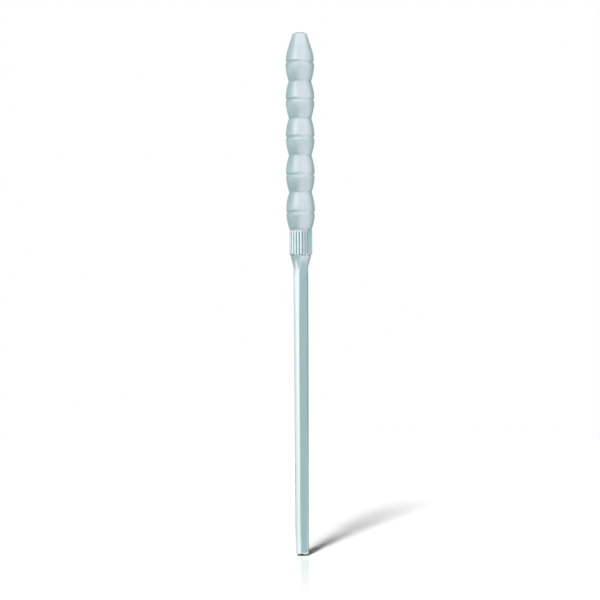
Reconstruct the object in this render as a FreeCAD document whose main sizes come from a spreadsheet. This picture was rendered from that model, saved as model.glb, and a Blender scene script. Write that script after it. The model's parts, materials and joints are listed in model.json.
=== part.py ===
"""Collet scalpel handle: a five-bead grip sleeve with a tapered nose, and a turning shaft with a
fluted collar and a slim hexagonal rod, which draws a split collet into the nose to clamp a blade.

The handle stands on its foot: +Z runs from the foot at zero to the collet's mouth, along the axis.
"""
import FreeCAD, Part
import math
import os
import Sketcher

# Driving dimensions in millimetres and degrees, each with the words that say what it is.
DIMENSIONS = [
    ("rod_length", 80.68, "foot to the start of the flare"),
    ("rod_flats_front", 3.94, "across flats of the rod where the flare starts"),
    ("rod_flats_foot", 3.5, "across flats of the rod at the foot"),
    ("rod_corner_angle", 18, "first corner of the rod's hexagon, from the X axis"),
    ("foot_crown_radius", 2.5, "spherical crown on the foot"),
    ("foot_crown_margin", 0.4, "cut of the crown beyond the rod's corners"),
    ("flare_blend_radius", 11.7, "hollow blend between the rod and the flare"),
    ("flare_half_angle", 15, "slope of the flare against the axis"),
    ("flare_top_radius", 3.02, "flare where it meets the collar"),
    ("flare_root_sink", 0.02, "flare's root below the rod's flats"),
    ("collar_radius", 3.3, "over the ridges of the fluted collar"),
    ("collar_length", 7.15, "fluted collar, end to end"),
    ("collar_lower_bevel", 0.4, "height of the bevel at the collar's lower edge"),
    ("collar_upper_bevel", 0.15, "bevel at the collar's upper edge"),
    ("flute_count", 24, "flutes round the collar"),
    ("flute_depth", 0.3, "depth of a flute"),
    ("flute_half_width", 0.2, "half the width of a flute at the collar's surface"),
    ("flute_run_in", 0.45, "plain band above the flutes"),
    ("washer_thickness", 0.2, "thrust washer"),
    ("washer_gap", 0.04, "end float of the shaft at the washer"),
    ("washer_step", 0.1, "washer's edge inside the sleeve's edge"),
    ("bead_count", 5, "beads on the grip, the nose bead included"),
    ("bead_pitch", 10.6, "from one crease to the next"),
    ("bead_radius", 4.13, "belly of a bead"),
    ("crease_radius", 3.2, "crease between two beads"),
    ("nose_bead_radius", 4.1, "belly of the nose bead"),
    ("nose_arc_radius", 14.0, "side of the nose bead, seen in section"),
    ("nose_length", 13.65, "last crease to the nose's face"),
    ("nose_wall", 0.37, "wall round the seat at the nose's face"),
    ("nose_edge_bevel", 0.12, "bevel on the nose's rim"),
    ("groove_rise", 4.8, "first finger groove above the sleeve's rear face"),
    ("groove_pitch", 10.75, "from one finger groove to the next"),
    ("groove_depth", 0.28, "finger groove, below the belly"),
    ("groove_half_width", 0.5, "half the finger groove's width at the belly"),
    ("bore_radius", 2.4, "long bore of the sleeve"),
    ("bore_bevel", 0.15, "lead-in at the rear of the long bore"),
    ("shank_radius", 1.35, "plain shank of the collet"),
    ("shank_clearance", 0.05, "shank in the nose's throat and in the guide bush"),
    ("head_radius", 1.67, "collet's head at the nose's face, jaws closed"),
    ("seat_half_angle", 8, "slope of the closing cone against the axis"),
    ("seat_gap", 0.03, "between the collet's head and its seat, jaws closed"),
    ("mouth_stand_out", 0.35, "collet's mouth in front of the nose's face"),
    ("mouth_radius", 1.15, "outer edge of the collet's end face"),
    ("socket_radius", 0.8, "round socket for the blade's shank"),
    ("socket_depth", 10, "depth of the blade's socket"),
    ("slot_width", 0.5, "slot that splits the collet into two jaws"),
    ("slot_length", 13, "slot, from the collet's mouth to its relief hole"),
    ("relief_radius", 0.4, "cross hole at the slot's end"),
    ("key_flat", 1.0, "keying flat of the shank, from the axis"),
    ("key_clearance", 0.05, "between the keying flat and the bush"),
    ("key_run", 1.2, "keying flat in front of the guide bush"),
    ("guide_length", 6, "guide bush"),
    ("shank_overhang", 1.8, "shank behind the guide bush"),
    ("thread_radius", 1.22, "collet's threaded tail, as a plain cylinder"),
    ("thread_clearance", 0.05, "between the tail and the draw tube's thread"),
    ("tail_length", 9.5, "collet's threaded tail"),
    ("draw_room", 1.0, "between the shank's end and the draw tube, jaws closed"),
    ("tube_radius", 2.1, "outside of the draw tube"),
    ("tube_thread_length", 8, "threaded stretch of the draw tube"),
    ("spigot_radius", 1.5, "front end of the journal, inside the draw tube"),
    ("spigot_clearance", 0.02, "between the spigot and the draw tube"),
    ("spigot_length", 5, "spigot inside the draw tube"),
    ("pin_radius", 0.4, "cross pin through the draw tube and the spigot"),
    ("pin_rise", 2.5, "cross pin in front of the draw tube's rear face"),
    ("pin_inset", 0.1, "pin's ends below the draw tube's surface"),
    ("pin_bevel", 0.08, "bevel on the pin's ends"),
    ("thrust_gap", 0.05, "between the draw tube and the rear bush"),
    ("journal_radius", 1.6, "shaft's journal in the rear bush"),
    ("journal_clearance", 0.03, "journal in the rear bush"),
    ("bush_set_in", 4.0, "rear bush in front of the sleeve's rear face"),
    ("bush_length", 8, "rear bush"),
    ("bush_bevel", 0.15, "bevels of both bushes"),
    ("land_clearance", 0.1, "shaft's land in the long bore"),
    ("land_gap", 0.15, "between the land and the rear bush"),
    ("seal_section_radius", 0.45, "seal ring's cord"),
    ("seal_gap", 0.05, "between the seal ring and the long bore"),
    ("seal_floor_gap", 0.02, "between the seal ring and its groove's floor"),
    ("seal_side_gap", 0.1, "seal ring in its groove, each side"),
    ("seal_rise", 1.9, "seal ring's middle in front of the sleeve's rear face"),
]


class Size:
    """A length that carries its value and the sheet expression that gives it."""

    def __init__(self, value, text):
        self.value = value
        self.text = text

    def __add__(self, other):
        return Size(self.value + other.value, "(%s + %s)" % (self.text, other.text))

    def __sub__(self, other):
        return Size(self.value - other.value, "(%s - %s)" % (self.text, other.text))

    def __mul__(self, other):
        return Size(self.value * other.value, "(%s * %s)" % (self.text, other.text))

    def __truediv__(self, other):
        return Size(self.value / other.value, "(%s / %s)" % (self.text, other.text))

    def __neg__(self):
        return Size(-self.value, "(0 - %s)" % self.text)


def number(value):
    return Size(value, repr(value))


def sine(angle):
    return Size(math.sin(math.radians(angle.value)), "sin(%s)" % angle.text)


def cosine(angle):
    return Size(math.cos(math.radians(angle.value)), "cos(%s)" % angle.text)


def tangent(angle):
    return Size(math.tan(math.radians(angle.value)), "tan(%s)" % angle.text)


def make_sheet(doc):
    """Writes the driving dimensions into a sheet and returns them as sizes by name."""
    sheet = doc.addObject("Spreadsheet::Sheet", "sizes")
    sizes = {}
    for row, (name, value, words) in enumerate(DIMENSIONS, start=1):
        sheet.set("A%d" % row, name)
        sheet.set("B%d" % row, str(value))
        sheet.set("C%d" % row, words)
        sheet.setAlias("B%d" % row, name)
        sizes[name] = Size(float(value), "sizes.%s" % name)
    return sizes


ZERO = number(0)
HALF = number(0.5)
ONE = number(1)
TWO = number(2)
HEXAGON_SIDES = 6
HEXAGON_HALF_SIDE_ANGLE = number(30)
HEXAGON_FIRST_SIDE_TURN = number(120)
LEAST_CUT = 1e-6

doc = FreeCAD.newDocument("scalpel_handle")
d = make_sheet(doc)
doc.recompute()

# Levels along the axis, worked out from the foot upwards.
flare_root = d["rod_flats_front"] * HALF - d["flare_root_sink"]
flare_bend_radius = flare_root + d["flare_blend_radius"] * (ONE - cosine(d["flare_half_angle"]))
flare_bend_level = d["rod_length"] + d["flare_blend_radius"] * sine(d["flare_half_angle"])
flare_cone_rise = (d["flare_top_radius"] - flare_bend_radius) / tangent(d["flare_half_angle"])
collar_bottom = flare_bend_level + flare_cone_rise
collar_top = collar_bottom + d["collar_length"]
sleeve_rear = collar_top + d["washer_thickness"] + d["washer_gap"]
last_crease = sleeve_rear + d["bead_pitch"] * (d["bead_count"] - ONE)
nose_face = last_crease + d["nose_length"]
mouth_level = nose_face + d["mouth_stand_out"]
guide_rear = last_crease - d["guide_length"]
shank_rear = guide_rear - d["shank_overhang"]
tail_rear = shank_rear - d["tail_length"]
tube_front = shank_rear - d["draw_room"]
bush_rear = sleeve_rear + d["bush_set_in"]
bush_front = bush_rear + d["bush_length"]
tube_rear = bush_front + d["thrust_gap"]
spigot_front = tube_rear + d["spigot_length"]
pin_level = tube_rear + d["pin_rise"]
land_front = bush_rear - d["land_gap"]
seal_level = sleeve_rear + d["seal_rise"]

# Radii that follow from what runs in what.
throat_radius = d["shank_radius"] + d["shank_clearance"]
seat_mouth_radius = d["head_radius"] + d["seat_gap"]
nose_rim_radius = seat_mouth_radius + d["nose_wall"]
land_radius = d["bore_radius"] - d["land_clearance"]
seal_ring_radius = d["bore_radius"] - d["seal_gap"] - d["seal_section_radius"]
seal_floor_radius = seal_ring_radius - d["seal_section_radius"] - d["seal_floor_gap"]


def new_body(label):
    return doc.addObject("PartDesign::Body", label)


def origin_feature(body, role):
    for feature in body.Origin.OriginFeatures:
        if feature.Role == role:
            return feature
    raise ValueError("no origin feature " + role)


def new_sketch(body, name, role, level=None):
    """Starts a sketch on one of the body's origin planes, raised by level where one is given."""
    sketch = body.newObject("Sketcher::SketchObject", name)
    sketch.AttachmentSupport = [(origin_feature(body, role), "")]
    sketch.MapMode = "FlatFace"
    if level is not None:
        sketch.setExpression("AttachmentOffset.Base.z", level.text)
    return sketch


def bind_constraint(sketch, constraint, size):
    index = sketch.addConstraint(constraint)
    sketch.setExpression("Constraints[%d]" % index, size.text)


def tie(sketch, edge, end, axis, size):
    """Holds one end of an edge at a distance from the sketch's origin along one axis."""
    if size is ZERO:
        other_axis = {"DistanceX": -2, "DistanceY": -1}[axis]
        sketch.addConstraint(Sketcher.Constraint("PointOnObject", edge, end, other_axis))
    elif size.value > 0:
        bind_constraint(sketch, Sketcher.Constraint(axis, -1, 1, edge, end, size.value), size)
    else:
        away = -size
        bind_constraint(sketch, Sketcher.Constraint(axis, edge, end, -1, 1, away.value), away)


def add_arc(sketch, start, end, radius, hollow):
    """Adds an arc from start to end and returns its number and which of its ends is the start.

    The arc bulges to the right of the way it runs, or to the left where it is hollow.
    """
    chord = end - start
    left = FreeCAD.Vector(-chord.y, chord.x, 0).normalize()
    reach = math.sqrt(radius ** 2 - (chord.Length / 2) ** 2)
    centre = (start + end) * 0.5 + left * (-reach if hollow else reach)
    first, last = (end, start) if hollow else (start, end)
    angles = [math.atan2(point.y - centre.y, point.x - centre.x) for point in (first, last)]
    circle = Part.Circle(centre, FreeCAD.Vector(0, 0, 1), radius)
    edge = sketch.addGeometry(Part.ArcOfCircle(circle, angles[0], angles[1]), False)
    return edge, 2 if hollow else 1


def corner(across, up, arc=None, hollow=False, smooth=False):
    """One corner of an outline; arc is the radius of the edge that leaves it.

    At a smooth corner the two edges are tangent, and its place is only a first guess.
    """
    return {"across": across, "up": up, "arc": arc, "hollow": hollow, "smooth": smooth}


def draw_outline(sketch, corners):
    """Draws a closed outline through the corners and ties each corner that isn't smooth."""
    places = [FreeCAD.Vector(point["across"].value, point["up"].value, 0) for point in corners]
    ends = []
    for index, point in enumerate(corners):
        start = places[index]
        end = places[(index + 1) % len(places)]
        if point["arc"] is None:
            edge = sketch.addGeometry(Part.LineSegment(start, end), False)
            ends.append((edge, 1, 2))
        else:
            edge, first = add_arc(sketch, start, end, point["arc"].value, point["hollow"])
            ends.append((edge, first, 3 - first))
    for index, point in enumerate(corners):
        edge, first, last = ends[index]
        next_edge, next_first, _ = ends[(index + 1) % len(ends)]
        meeting = "Tangent" if corners[(index + 1) % len(corners)]["smooth"] else "Coincident"
        sketch.addConstraint(Sketcher.Constraint(meeting, edge, last, next_edge, next_first))
        if not point["smooth"]:
            tie(sketch, edge, first, "DistanceX", point["across"])
            tie(sketch, edge, first, "DistanceY", point["up"])
        if point["arc"] is not None:
            bind_constraint(sketch, Sketcher.Constraint("Radius", edge, point["arc"].value), point["arc"])
    return [edge for edge, _, _ in ends]


def turned(body, sketch, name, kind="PartDesign::Revolution"):
    """Turns a sketch of the XZ plane once round the handle's axis."""
    feature = body.newObject(kind, name)
    feature.Profile = sketch
    feature.ReferenceAxis = (sketch, ["V_Axis"])
    feature.Angle = 360
    return feature


def pocket_down(body, sketch, name, depth):
    """Cuts a sketch of the XY plane downwards by depth."""
    feature = body.newObject("PartDesign::Pocket", name)
    feature.Profile = sketch
    feature.setExpression("Length", depth.text)
    return feature


def pocket_across(body, sketch, name, span):
    """Cuts a sketch of the YZ plane both ways along X, over span in all."""
    feature = body.newObject("PartDesign::Pocket", name)
    feature.Profile = sketch
    feature.SideType = "Symmetric"
    feature.setExpression("Length", span.text)
    return feature


def draw_circle(sketch, up, radius):
    """Draws a circle on the sketch's vertical axis."""
    centre = FreeCAD.Vector(0, up.value, 0)
    circle = sketch.addGeometry(Part.Circle(centre, FreeCAD.Vector(0, 0, 1), radius.value), False)
    tie(sketch, circle, 3, "DistanceX", ZERO)
    tie(sketch, circle, 3, "DistanceY", up)
    bind_constraint(sketch, Sketcher.Constraint("Radius", circle, radius.value), radius)


def check_cut(body, before):
    """Stops the build where the body's last cut took nothing away."""
    doc.recompute()
    if not body.Shape.Volume < before - LEAST_CUT:
        raise ValueError(body.Label + ": a cut removed nothing")


def crease_level(index):
    """Height of a crease; number 0 is the sleeve's rear face."""
    return sleeve_rear + d["bead_pitch"] * number(index)


def bead_side_radius():
    """Radius of a bead's side in section, from its pitch and its rise over the creases."""
    rise = d["bead_radius"] - d["crease_radius"]
    half_pitch = d["bead_pitch"] * HALF
    return (half_pitch * half_pitch + rise * rise) / (rise * TWO)


def nose_tangent_point():
    """First guess for the point where the nose bead's side runs into the nose's cone."""
    radius = d["nose_arc_radius"].value
    centre_across = d["nose_bead_radius"].value - radius
    crease_across = d["crease_radius"].value - centre_across
    centre_up = last_crease.value + math.sqrt(radius ** 2 - crease_across ** 2)
    rim_across = nose_rim_radius.value - centre_across
    rim_up = nose_face.value - d["nose_edge_bevel"].value - centre_up
    angle = math.atan2(rim_up, rim_across) - math.acos(radius / math.hypot(rim_across, rim_up))
    across = centre_across + radius * math.cos(angle)
    return number(across), number(centre_up + radius * math.sin(angle))


def sleeve_corners():
    """Section of the sleeve: up the beads and the nose, then back down the bores."""
    seat_rise = (seat_mouth_radius - throat_radius) / tangent(d["seat_half_angle"])
    side = bead_side_radius()
    plain_beads = int(d["bead_count"].value) - 1
    outline = [corner(d["crease_radius"], crease_level(index), arc=side) for index in range(plain_beads)]
    tangent_across, tangent_up = nose_tangent_point()
    outline += [
        corner(d["crease_radius"], last_crease, arc=d["nose_arc_radius"]),
        corner(tangent_across, tangent_up, smooth=True),
        corner(nose_rim_radius, nose_face - d["nose_edge_bevel"]),
        corner(nose_rim_radius - d["nose_edge_bevel"], nose_face),
        corner(seat_mouth_radius, nose_face),
        corner(throat_radius, nose_face - seat_rise),
        corner(throat_radius, last_crease),
        corner(d["bore_radius"], last_crease),
        corner(d["bore_radius"], sleeve_rear + d["bore_bevel"]),
        corner(d["bore_radius"] + d["bore_bevel"], sleeve_rear),
    ]
    return outline, plain_beads


def make_grip_sleeve():
    body = new_body("grip_sleeve")
    section = new_sketch(body, "sleeve_section", "XZ_Plane")
    outline, nose_index = sleeve_corners()
    edges = draw_outline(section, outline)
    centre_offset = d["nose_arc_radius"] - d["nose_bead_radius"]
    centre_place = Sketcher.Constraint("DistanceX", edges[nose_index], 3, -1, 1, centre_offset.value)
    bind_constraint(section, centre_place, centre_offset)
    turned(body, section, "sleeve_turning")
    doc.recompute()
    uncut = body.Shape.Volume

    groove_level = sleeve_rear + d["groove_rise"]
    floor_radius = d["bead_radius"] - d["groove_depth"]
    groove_section = new_sketch(body, "groove_section", "XZ_Plane")
    reach = d["bead_radius"] + d["groove_depth"]
    half_width_at_reach = d["groove_half_width"] * TWO
    draw_outline(groove_section, [
        corner(floor_radius, groove_level),
        corner(reach, groove_level - half_width_at_reach),
        corner(reach, groove_level + half_width_at_reach),
    ])
    groove = turned(body, groove_section, "finger_groove", "PartDesign::Groove")
    check_cut(body, uncut)
    row = body.newObject("PartDesign::LinearPattern", "finger_grooves")
    row.Originals = [groove]
    row.Direction = (origin_feature(body, "Z_Axis"), [""])
    row.Mode = "Spacing"
    row.setExpression("Offset", d["groove_pitch"].text)
    row.setExpression("Occurrences", d["bead_count"].text)
    body.Tip = row
    return body


def make_collet():
    body = new_body("collet")
    head_rise = (d["head_radius"] - d["shank_radius"]) / tangent(d["seat_half_angle"])
    section = new_sketch(body, "collet_section", "XZ_Plane")
    draw_outline(section, [
        corner(ZERO, tail_rear),
        corner(d["thread_radius"], tail_rear),
        corner(d["thread_radius"], shank_rear),
        corner(d["shank_radius"], shank_rear),
        corner(d["shank_radius"], nose_face - head_rise),
        corner(d["head_radius"], nose_face),
        corner(d["mouth_radius"], mouth_level),
        corner(d["socket_radius"], mouth_level),
        corner(d["socket_radius"], mouth_level - d["socket_depth"]),
        corner(ZERO, mouth_level - d["socket_depth"]),
    ])
    turned(body, section, "collet_turning")
    doc.recompute()
    uncut = body.Shape.Volume

    flat_front = last_crease + d["key_run"]
    beyond_shank = d["shank_radius"] * TWO
    flat_sketch = new_sketch(body, "key_flat_sketch", "XY_Plane", flat_front)
    draw_outline(flat_sketch, [
        corner(-beyond_shank, d["key_flat"]),
        corner(beyond_shank, d["key_flat"]),
        corner(beyond_shank, beyond_shank),
        corner(-beyond_shank, beyond_shank),
    ])
    pocket_down(body, flat_sketch, "key_flat_cut", flat_front - shank_rear)
    check_cut(body, uncut)
    keyed = body.Shape.Volume

    slot_rear = mouth_level - d["slot_length"]
    slot_sketch = new_sketch(body, "slot_sketch", "YZ_Plane")
    draw_outline(slot_sketch, [
        corner(-(d["slot_width"] * HALF), slot_rear),
        corner(d["slot_width"] * HALF, slot_rear),
        corner(d["slot_width"] * HALF, mouth_level),
        corner(-(d["slot_width"] * HALF), mouth_level),
    ])
    pocket_across(body, slot_sketch, "jaw_slot", d["head_radius"] * TWO * TWO)
    check_cut(body, keyed)
    slotted = body.Shape.Volume

    relief_sketch = new_sketch(body, "relief_sketch", "YZ_Plane")
    draw_circle(relief_sketch, slot_rear, d["relief_radius"])
    pocket_across(body, relief_sketch, "relief_hole", d["head_radius"] * TWO * TWO)
    check_cut(body, slotted)
    return body


def make_guide_bush():
    """Ring pressed against the shoulder of the sleeve, with a bore that keys the collet's flat."""
    ring = doc.addObject("Part::Cylinder", "guide_ring")
    ring.setExpression("Radius", d["bore_radius"].text)
    ring.setExpression("Height", d["guide_length"].text)
    ring.setExpression("Placement.Base.z", guide_rear.text)
    bore = doc.addObject("Part::Cylinder", "guide_bore")
    bore.setExpression("Radius", throat_radius.text)
    bore.setExpression("Height", d["guide_length"].text)
    bore.setExpression("Placement.Base.z", guide_rear.text)
    half_side = throat_radius * TWO
    flat_side = doc.addObject("Part::Box", "guide_flat")
    flat_side.setExpression("Length", (half_side * TWO).text)
    flat_side.setExpression("Width", (half_side + d["key_flat"] + d["key_clearance"]).text)
    flat_side.setExpression("Height", d["guide_length"].text)
    flat_side.setExpression("Placement.Base.x", (-half_side).text)
    flat_side.setExpression("Placement.Base.y", (-half_side).text)
    flat_side.setExpression("Placement.Base.z", guide_rear.text)
    keyed_bore = doc.addObject("Part::Common", "guide_keyed_bore")
    keyed_bore.Base = bore
    keyed_bore.Tool = flat_side
    bush = doc.addObject("Part::Cut", "guide_bush")
    bush.Base = ring
    bush.Tool = keyed_bore
    return bush


def make_draw_tube():
    """Tube on the front of the journal, threaded inside for the collet's tail."""
    body = new_body("draw_tube")
    thread_bore = d["thread_radius"] + d["thread_clearance"]
    rear_bore = d["spigot_radius"] + d["spigot_clearance"]
    thread_rear = tube_front - d["tube_thread_length"]
    section = new_sketch(body, "tube_section", "XZ_Plane")
    draw_outline(section, [
        corner(rear_bore, tube_rear),
        corner(d["tube_radius"], tube_rear),
        corner(d["tube_radius"], tube_front),
        corner(thread_bore, tube_front),
        corner(thread_bore, thread_rear),
        corner(rear_bore, thread_rear),
    ])
    turned(body, section, "tube_turning")
    doc.recompute()
    uncut = body.Shape.Volume
    pin_sketch = new_sketch(body, "tube_pin_sketch", "YZ_Plane")
    draw_circle(pin_sketch, pin_level, d["pin_radius"])
    pocket_across(body, pin_sketch, "tube_pin_hole", d["tube_radius"] * TWO * TWO)
    check_cut(body, uncut)
    return body


def make_tube_pin():
    """Cross pin along X, drawn upright in section and laid over."""
    body = new_body("tube_pin")
    half_length = d["tube_radius"] - d["pin_inset"]
    section = new_sketch(body, "pin_section", "XY_Plane", pin_level)
    draw_outline(section, [
        corner(-half_length, ZERO),
        corner(half_length, ZERO),
        corner(half_length, d["pin_radius"] - d["pin_bevel"]),
        corner(half_length - d["pin_bevel"], d["pin_radius"]),
        corner(-(half_length - d["pin_bevel"]), d["pin_radius"]),
        corner(-half_length, d["pin_radius"] - d["pin_bevel"]),
    ])
    turning = body.newObject("PartDesign::Revolution", "pin_turning")
    turning.Profile = section
    turning.ReferenceAxis = (section, ["H_Axis"])
    turning.Angle = 360
    return body


def make_rear_bush():
    """Plain bearing of the journal, pressed into the rear of the sleeve."""
    body = new_body("rear_bush")
    bore = d["journal_radius"] + d["journal_clearance"]
    bevel = d["bush_bevel"]
    section = new_sketch(body, "bush_section", "XZ_Plane")
    draw_outline(section, [
        corner(bore, bush_rear),
        corner(d["bore_radius"] - bevel, bush_rear),
        corner(d["bore_radius"], bush_rear + bevel),
        corner(d["bore_radius"], bush_front - bevel),
        corner(d["bore_radius"] - bevel, bush_front),
        corner(bore, bush_front),
    ])
    turned(body, section, "bush_turning")
    return body


def make_thrust_washer():
    outside = doc.addObject("Part::Cylinder", "washer_disc")
    outside.setExpression("Radius", (d["crease_radius"] - d["washer_step"]).text)
    inside = doc.addObject("Part::Cylinder", "washer_hole")
    inside.setExpression("Radius", (land_radius + d["journal_clearance"]).text)
    for disc in (outside, inside):
        disc.setExpression("Height", d["washer_thickness"].text)
        disc.setExpression("Placement.Base.z", collar_top.text)
    washer = doc.addObject("Part::Cut", "thrust_washer")
    washer.Base = outside
    washer.Tool = inside
    return washer


def make_seal_ring():
    ring = doc.addObject("Part::Torus", "seal_ring")
    ring.setExpression("Radius1", seal_ring_radius.text)
    ring.setExpression("Radius2", d["seal_section_radius"].text)
    ring.setExpression("Placement.Base.z", seal_level.text)
    return ring


def hexagon_corner_radius(flats):
    return flats / (cosine(HEXAGON_HALF_SIDE_ANGLE) * TWO)


def draw_hexagon(sketch, flats):
    """Draws a hexagon round the axis, its corners on a circle and its first corner turned."""
    corner_radius = hexagon_corner_radius(flats)
    first = math.radians(d["rod_corner_angle"].value)
    places = []
    for index in range(HEXAGON_SIDES):
        angle = first + index * math.tau / HEXAGON_SIDES
        places.append(FreeCAD.Vector(math.cos(angle), math.sin(angle), 0) * corner_radius.value)
    for start, end in zip(places, places[1:] + places[:1]):
        sketch.addGeometry(Part.LineSegment(start, end), False)
    origin = FreeCAD.Vector(0, 0, 0)
    circle = Part.Circle(origin, FreeCAD.Vector(0, 0, 1), corner_radius.value)
    guide = sketch.addGeometry(circle, True)
    sketch.addConstraint(Sketcher.Constraint("Coincident", guide, 3, -1, 1))
    bind_constraint(sketch, Sketcher.Constraint("Radius", guide, corner_radius.value), corner_radius)
    for index in range(HEXAGON_SIDES):
        following = (index + 1) % HEXAGON_SIDES
        sketch.addConstraint(Sketcher.Constraint("Coincident", index, 2, following, 1))
        sketch.addConstraint(Sketcher.Constraint("PointOnObject", index, 1, guide))
    for index in range(HEXAGON_SIDES - 1):
        sketch.addConstraint(Sketcher.Constraint("Equal", index, index + 1))
    side_angle = d["rod_corner_angle"] + HEXAGON_FIRST_SIDE_TURN
    turn = Sketcher.Constraint("Angle", 0, math.radians(side_angle.value))
    index = sketch.addConstraint(turn)
    sketch.setExpression("Constraints[%d]" % index, "%s * 1 deg" % side_angle.text)


def shaft_corners():
    """Section of the shaft's turned end: flare, collar, land, journal and spigot."""
    seal_half = d["seal_section_radius"] + d["seal_side_gap"]
    upper_bevel = d["collar_upper_bevel"]
    return [
        corner(ZERO, d["rod_length"]),
        corner(flare_root, d["rod_length"], arc=d["flare_blend_radius"], hollow=True),
        corner(flare_bend_radius, flare_bend_level),
        corner(d["flare_top_radius"], collar_bottom),
        corner(d["collar_radius"], collar_bottom + d["collar_lower_bevel"]),
        corner(d["collar_radius"], collar_top - upper_bevel),
        corner(d["collar_radius"] - upper_bevel, collar_top),
        corner(land_radius, collar_top),
        corner(land_radius, seal_level - seal_half),
        corner(seal_floor_radius, seal_level - seal_half),
        corner(seal_floor_radius, seal_level + seal_half),
        corner(land_radius, seal_level + seal_half),
        corner(land_radius, land_front),
        corner(d["journal_radius"], land_front),
        corner(d["journal_radius"], tube_rear - d["thrust_gap"] * HALF),
        corner(d["spigot_radius"], tube_rear - d["thrust_gap"] * HALF),
        corner(d["spigot_radius"], spigot_front),
        corner(ZERO, spigot_front),
    ]


def crown_foot(body):
    """Rounds the foot of the rod to a shallow spherical crown."""
    doc.recompute()
    uncut = body.Shape.Volume
    radius = d["foot_crown_radius"]
    reach = hexagon_corner_radius(d["rod_flats_foot"]) + d["foot_crown_margin"]
    drop = Size(radius.value - math.sqrt(radius.value ** 2 - reach.value ** 2),
                "(%s - sqrt(%s^2 - %s^2))" % (radius.text, radius.text, reach.text))
    section = new_sketch(body, "crown_section", "XZ_Plane")
    draw_outline(section, [
        corner(ZERO, ZERO, arc=radius),
        corner(reach, drop),
        corner(reach, ZERO),
    ])
    turned(body, section, "foot_crown", "PartDesign::Groove")
    check_cut(body, uncut)


def flute_collar(body):
    """Cuts one flute down the collar, half a pitch from the X axis, and repeats it all round."""
    uncut = body.Shape.Volume
    flute_top = collar_top - d["flute_run_in"]
    flute_sketch = new_sketch(body, "flute_sketch", "XY_Plane", flute_top)
    flute_sketch.setExpression("AttachmentOffset.Rotation.Angle", "180 deg / %s" % d["flute_count"].text)
    reach = d["collar_radius"] + d["flute_depth"]
    half_width_at_reach = d["flute_half_width"] * TWO
    draw_outline(flute_sketch, [
        corner(d["collar_radius"] - d["flute_depth"], ZERO),
        corner(reach, -half_width_at_reach),
        corner(reach, half_width_at_reach),
    ])
    flute = pocket_down(body, flute_sketch, "collar_flute", flute_top - collar_bottom)
    check_cut(body, uncut)
    ring = body.newObject("PartDesign::PolarPattern", "collar_flutes")
    ring.Originals = [flute]
    ring.Axis = (origin_feature(body, "Z_Axis"), [""])
    ring.Angle = 360
    ring.setExpression("Occurrences", d["flute_count"].text)
    body.Tip = ring


def make_shaft():
    """Shaft in one piece: hexagonal rod, flare, fluted collar, land, journal and spigot."""
    body = new_body("shaft")
    section = new_sketch(body, "shaft_section", "XZ_Plane")
    draw_outline(section, shaft_corners())
    turned(body, section, "shaft_turning")

    taper = (d["rod_flats_front"] - d["rod_flats_foot"]) / d["rod_length"]
    foot_hexagon = new_sketch(body, "foot_hexagon", "XY_Plane")
    draw_hexagon(foot_hexagon, d["rod_flats_foot"])
    front_hexagon = new_sketch(body, "front_hexagon", "XY_Plane", collar_bottom)
    draw_hexagon(front_hexagon, d["rod_flats_foot"] + taper * collar_bottom)
    rod = body.newObject("PartDesign::AdditiveLoft", "rod_loft")
    rod.Profile = foot_hexagon
    rod.Sections = [front_hexagon]
    rod.Ruled = True
    crown_foot(body)

    whole = body.Shape.Volume
    pin_sketch = new_sketch(body, "spigot_pin_sketch", "YZ_Plane")
    draw_circle(pin_sketch, pin_level, d["pin_radius"])
    pocket_across(body, pin_sketch, "spigot_pin_hole", d["tube_radius"] * TWO * TWO)
    check_cut(body, whole)
    flute_collar(body)
    return body


def faults(subparts):
    """Names every object that failed to build and every sub-part without a sound shape."""
    found = []
    for thing in doc.Objects:
        if "Invalid" in thing.State or "Error" in thing.State:
            found.append(thing.Name + " failed")
    for subpart in subparts:
        shape = subpart.Shape
        if shape.isNull() or not shape.isValid() or len(shape.Solids) != 1:
            found.append(subpart.Label + " has no sound solid")
    return found


subparts = [
    make_grip_sleeve(),
    make_guide_bush(),
    make_rear_bush(),
    make_collet(),
    make_draw_tube(),
    make_tube_pin(),
    make_thrust_washer(),
    make_seal_ring(),
    make_shaft(),
]
doc.recompute()
problems = faults(subparts)
if problems:
    raise ValueError("; ".join(problems))
os.makedirs("parts", exist_ok=True)
for subpart in subparts:
    subpart.Shape.exportStep("parts/%s.step" % subpart.Label)
    box = subpart.Shape.BoundBox
    print("%-14s z %8.3f to %8.3f  volume %8.2f" % (subpart.Label, box.ZMin, box.ZMax, subpart.Shape.Volume))
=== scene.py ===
"""Looks of the scalpel handle: a blasted five-bead grip, a fluted collar and a polished hexagonal rod.

The handle stands on its foot. All lengths are in metres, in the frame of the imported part.
"""

import json
import math

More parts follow.
